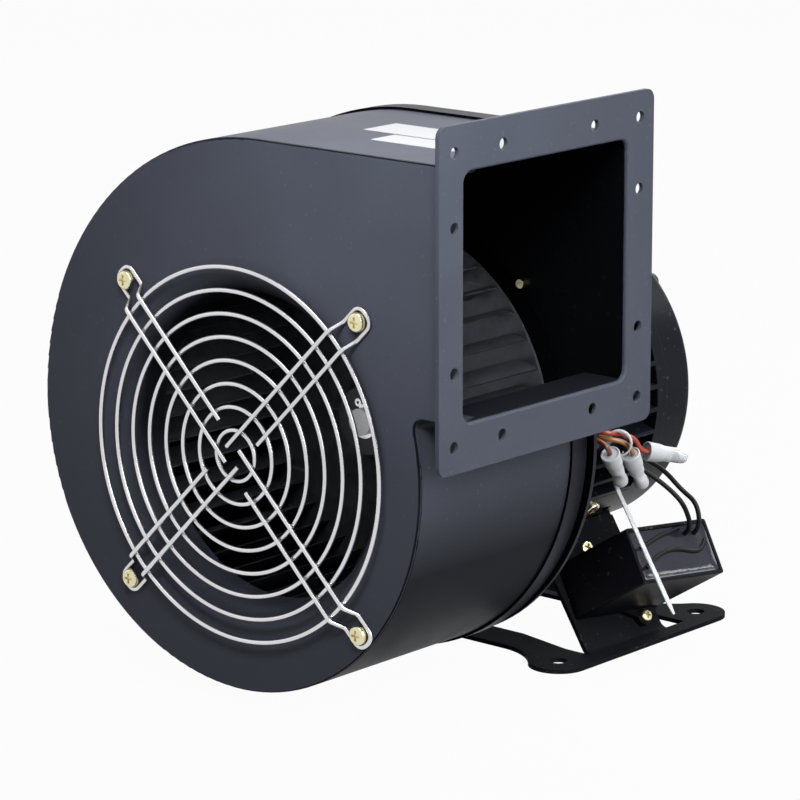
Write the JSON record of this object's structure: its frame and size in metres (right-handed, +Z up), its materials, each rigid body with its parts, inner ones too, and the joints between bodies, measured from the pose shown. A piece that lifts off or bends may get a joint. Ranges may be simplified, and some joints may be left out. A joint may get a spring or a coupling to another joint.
{
  "type": "centrifugal fan",
  "caption": "Black centrifugal fan with a scroll casing, wire-guarded inlet, square flanged outlet, finned motor and pressed foot.",
  "frame": {"origin": "on the floor, in the middle of the four foot holes", "axes": "+X out of the outlet, +Y from the inlet to the motor along the shaft, +Z up"},
  "size_m": [0.2396, 0.2636, 0.2641],
  "materials": {
    "casing_paint": "satin black",
    "guard_plate": "bright plated wire",
    "zinc_yellow": "pale yellow zinc",
    "label_film": "white film",
    "galvanised": "dark galvanised",
    "bright_steel": "machined",
    "dark_steel": "oiled",
    "spring_steel": "bright",
    "motor_paint": "satin black",
    "foot_paint": "satin black",
    "grommet_rubber": "moulded",
    "core_steel": "laminated",
    "copper_winding": "enamelled",
    "cast_aluminium": "cast",
    "capacitor_plastic": "moulded black",
    "resin": "potted, glossy",
    "white_nylon": "moulded white",
    "red_sleeve": "sleeving",
    "yellow_sleeve": "sleeving",
    "brown_sleeve": "sleeving",
    "black_sleeve": "sleeving"
  },
  "bodies": {
    "housing": {"inlet_plate": "casing_paint", "scroll_wrapper": "casing_paint", "back_plate": "casing_paint", "outlet_flange": "casing_paint", "guard_rings": "guard_plate", "guard_spokes": "guard_plate", "guard_screws": "zinc_yellow", "bare_labels": "label_film", "motor_plate": "casing_paint", "motor_plate_screws": "zinc_yellow", "front_shield": "motor_paint", "shield_screws": "zinc_yellow", "motor_body": "motor_paint", "lead_grommet": "grommet_rubber", "earth_screw": "zinc_yellow", "rear_cover": "motor_paint", "cover_bolts": "dark_steel", "stator_core": "core_steel", "stator_windings": "copper_winding", "foot_bracket": "foot_paint", "leg_screws": "zinc_yellow", "capacitor_case": "capacitor_plastic", "capacitor_resin": "resin", "capacitor_screw": "zinc_yellow", "front_bearing_outer": "bright_steel", "rear_bearing_outer": "bright_steel", "cable_tie": "white_nylon", "crimp_cap_1": "white_nylon", "crimp_cap_2": "white_nylon", "crimp_cap_3": "white_nylon", "lead_red": "red_sleeve", "lead_yellow": "yellow_sleeve", "lead_brown": "brown_sleeve", "capacitor_lead_1": "black_sleeve", "capacitor_lead_2": "black_sleeve"},
    "rotor": {"impeller_blades": "galvanised", "impeller_front_ring": "galvanised", "impeller_back_disc": "galvanised", "impeller_hub": "dark_steel", "hub_rivets": "dark_steel", "hub_set_screw": "dark_steel", "shaft_snap_ring": "spring_steel", "rotor_core": "core_steel", "rotor_end_rings": "cast_aluminium", "motor_shaft": "bright_steel", "front_bearing_inner": "bright_steel", "rear_bearing_inner": "bright_steel"}
  },
  "joints": [
    {"name": "impeller_spin", "type": "hinge", "parent": "housing", "child": "rotor", "pos_m": [0, -0.12, 0.112], "axis": [0, 1, 0], "continuous": true}
  ]
}
